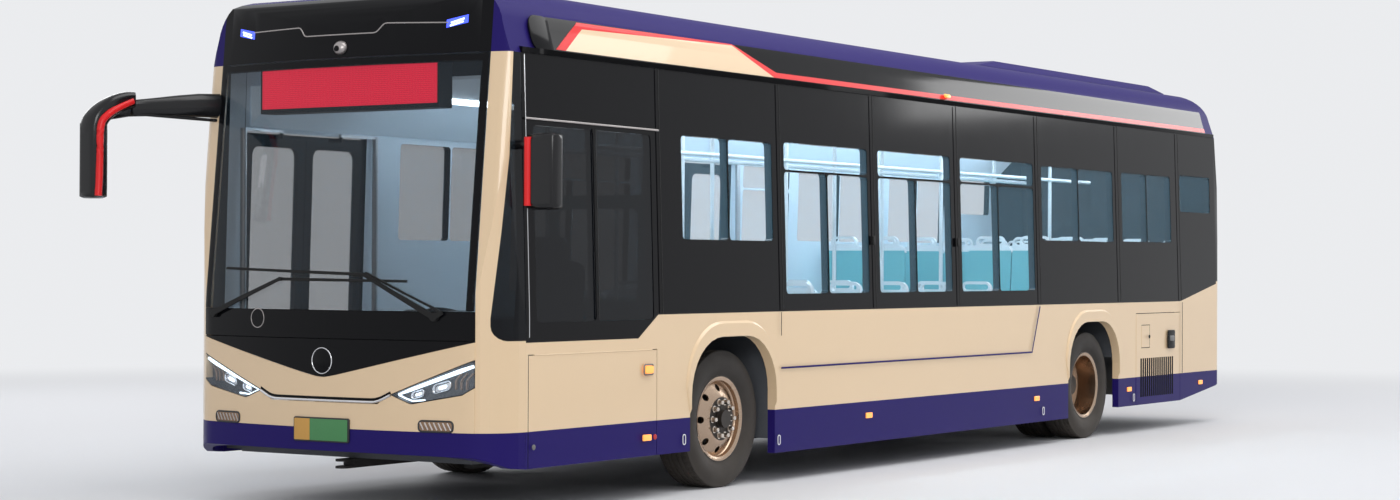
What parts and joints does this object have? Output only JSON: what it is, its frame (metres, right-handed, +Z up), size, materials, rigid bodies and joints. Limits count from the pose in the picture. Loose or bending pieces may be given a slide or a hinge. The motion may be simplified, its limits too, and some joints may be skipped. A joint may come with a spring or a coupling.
{
  "type": "airport passenger bus",
  "caption": "Low-floor electric airport bus: hollow body with windows, double inward-swinging doors, flaps, steered front wheels and twin rear wheels.",
  "frame": {"origin": "on the road, below the middle of the overall box", "axes": "+X towards the tail, so the bus faces -X; +Y towards its right side, where the doors are; +Z up"},
  "size_m": [12.6237, 3.12, 3.34],
  "materials": {
    "cream_paint": "gloss paint",
    "navy_paint": "gloss paint",
    "black_gloss": "gloss",
    "red_paint": "gloss paint",
    "clear_glass": "clear",
    "dark_glass": "tinted",
    "lamp_lens": "clear",
    "amber_lens": "lens",
    "red_lens": "lens",
    "bright_trim": "polished",
    "sign_face": "lit",
    "tyre_rubber": "matt",
    "wheel_silver": "satin",
    "chassis_steel": "matt black",
    "floor_lining": "speckled",
    "ceiling_lining": "satin",
    "cab_plastic": "grained",
    "seat_shell": "satin",
    "post_metal": "brushed",
    "door_leaf": "gloss black",
    "wiper_black": "matt"
  },
  "bodies": {
    "body": {"underframe": "chassis_steel", "floor": "floor_lining", "ceiling": "ceiling_lining", "left_side": "cream_paint", "right_side": "cream_paint", "skirts": "navy_paint", "left_window_band": "black_gloss", "right_window_band": "black_gloss", "side_windows": "clear_glass", "roof": "navy_paint", "roof_coves": "black_gloss", "roof_stripes": "red_paint", "stripe_panels": "cream_paint", "roof_pod": "navy_paint", "front_dome": "navy_paint", "front_mask": "cream_paint", "front_panel": "black_gloss", "windscreen": "clear_glass", "front_corners": "cream_paint", "corner_windows": "dark_glass", "bumpers": "navy_paint", "route_sign": "sign_face", "headlamps": "lamp_lens", "front_moulding": "bright_trim", "fog_lamps": "lamp_lens", "dome_lamps": "lamp_lens", "marker_lamps": "amber_lens", "rear_cap_panel": "navy_paint", "rear_wall": "cream_paint", "rear_window": "clear_glass", "rear_lamps": "red_lens", "front_axle": "chassis_steel", "rear_axle": "chassis_steel", "mirrors": "black_gloss", "wipers": "wiper_black", "cab": "cab_plastic", "seats": "seat_shell"},
    "left_knuckle": {"left_knuckle": "chassis_steel"},
    "right_knuckle": {"right_knuckle": "chassis_steel"},
    "tie_rod": {"tie_rod": "chassis_steel"},
    "front_left_wheel": {"front_left_rim": "wheel_silver", "front_left_tyre": "tyre_rubber"},
    "front_right_wheel": {"front_right_rim": "wheel_silver", "front_right_tyre": "tyre_rubber"},
    "rear_left_wheels": {"rear_left_rims": "wheel_silver", "rear_left_tyres": "tyre_rubber"},
    "rear_right_wheels": {"rear_right_rims": "wheel_silver", "rear_right_tyres": "tyre_rubber"},
    "service_flap": {"service_flap": "cream_paint"},
    "equipment_door": {"equipment_door": "cream_paint"},
    "charge_flap": {"charge_flap": "cream_paint"},
    "motor_lid": {"motor_lid": "cream_paint"},
    "front_post_a": {"front_door_post_a": "post_metal"},
    "front_leaf_a": {"front_door_leaf_a": "door_leaf"},
    "front_post_b": {"front_door_post_b": "post_metal"},
    "front_leaf_b": {"front_door_leaf_b": "door_leaf"},
    "middle_post_a": {"middle_door_post_a": "post_metal"},
    "middle_leaf_a": {"middle_door_leaf_a": "door_leaf"},
    "middle_post_b": {"middle_door_post_b": "post_metal"},
    "middle_leaf_b": {"middle_door_leaf_b": "door_leaf"}
  },
  "joints": [
    {"name": "left_steer", "type": "hinge", "parent": "body", "child": "left_knuckle", "pos_m": [-2.93, -0.88, 0.475], "axis": [0, 0, 1], "range_deg": [-40, 40]},
    {"name": "right_steer", "type": "hinge", "parent": "body", "child": "right_knuckle", "pos_m": [-2.93, 0.88, 0.475], "axis": [0, 0, 1], "range_deg": [-40, 40]},
    {"name": "tie_rod_turn", "type": "hinge", "parent": "left_knuckle", "child": "tie_rod", "pos_m": [-2.73, -0.88, 0.27], "axis": [0, 0, 1], "range_deg": [-40, 40]},
    {"name": "front_left_spin", "type": "hinge", "parent": "left_knuckle", "child": "front_left_wheel", "pos_m": [-2.93, -1.052, 0.475], "axis": [0, 1, 0], "continuous": true},
    {"name": "front_right_spin", "type": "hinge", "parent": "right_knuckle", "child": "front_right_wheel", "pos_m": [-2.93, 1.052, 0.475], "axis": [0, 1, 0], "continuous": true},
    {"name": "rear_left_spin", "type": "hinge", "parent": "body", "child": "rear_left_wheels", "pos_m": [3.17, -0.918, 0.475], "axis": [0, 1, 0], "continuous": true},
    {"name": "rear_right_spin", "type": "hinge", "parent": "body", "child": "rear_right_wheels", "pos_m": [3.17, 0.918, 0.475], "axis": [0, 1, 0], "continuous": true},
    {"name": "service_flap_lift", "type": "hinge", "parent": "body", "child": "service_flap", "pos_m": [-4.59, -1.275, 0.981], "axis": [-1, 0, 0], "range_deg": [0, 85]},
    {"name": "equipment_door_swing", "type": "hinge", "parent": "body", "child": "equipment_door", "pos_m": [4.13, -1.275, 0.68], "axis": [0, 0, -1], "range_deg": [0, 110]},
    {"name": "charge_flap_swing", "type": "hinge", "parent": "equipment_door", "child": "charge_flap", "pos_m": [4.257, -1.275, 0.89], "axis": [0, 0, -1], "range_deg": [0, 100]},
    {"name": "motor_lid_lift", "type": "hinge", "parent": "body", "child": "motor_lid", "pos_m": [6.31, 0, 1.496], "axis": [0, -1, 0], "range_deg": [0, 75]},
    {"name": "front_post_a_turn", "type": "hinge", "parent": "body", "child": "front_post_a", "pos_m": [-5.222, 1.144, 1.4], "axis": [0, 0, -1], "range_deg": [0, 86]},
    {"name": "front_leaf_a_turn", "type": "hinge", "parent": "front_post_a", "child": "front_leaf_a", "pos_m": [-4.85174, 1.144, 1.4], "axis": [0, 0, -1], "range_deg": [-172, 0]},
    {"name": "front_post_b_turn", "type": "hinge", "parent": "body", "child": "front_post_b", "pos_m": [-3.878, 1.144, 1.4], "axis": [0, 0, 1], "range_deg": [0, 86]},
    {"name": "front_leaf_b_turn", "type": "hinge", "parent": "front_post_b", "child": "front_leaf_b", "pos_m": [-4.24826, 1.144, 1.4], "axis": [0, 0, 1], "range_deg": [-172, 0]},
    {"name": "middle_post_a_turn", "type": "hinge", "parent": "body", "child": "middle_post_a", "pos_m": [-0.462, 1.144, 1.4], "axis": [0, 0, -1], "range_deg": [0, 86]},
    {"name": "middle_leaf_a_turn", "type": "hinge", "parent": "middle_post_a", "child": "middle_leaf_a", "pos_m": [-0.06097, 1.144, 1.4], "axis": [0, 0, -1], "range_deg": [-172, 0]},
    {"name": "middle_post_b_turn", "type": "hinge", "parent": "body", "child": "middle_post_b", "pos_m": [1.002, 1.144, 1.4], "axis": [0, 0, 1], "range_deg": [0, 86]},
    {"name": "middle_leaf_b_turn", "type": "hinge", "parent": "middle_post_b", "child": "middle_leaf_b", "pos_m": [0.60097, 1.144, 1.4], "axis": [0, 0, 1], "range_deg": [-172, 0]}
  ],
  "couplings": [
    {"joint": "right_steer", "follows": "left_steer", "ratio": 1},
    {"joint": "tie_rod_turn", "follows": "left_steer", "ratio": -1},
    {"joint": "front_post_b_turn", "follows": "front_post_a_turn", "ratio": 1},
    {"joint": "front_leaf_a_turn", "follows": "front_post_a_turn", "ratio": -2},
    {"joint": "front_leaf_b_turn", "follows": "front_post_a_turn", "ratio": -2},
    {"joint": "middle_post_b_turn", "follows": "middle_post_a_turn", "ratio": 1},
    {"joint": "middle_leaf_a_turn", "follows": "middle_post_a_turn", "ratio": -2},
    {"joint": "middle_leaf_b_turn", "follows": "middle_post_a_turn", "ratio": -2}
  ]
}
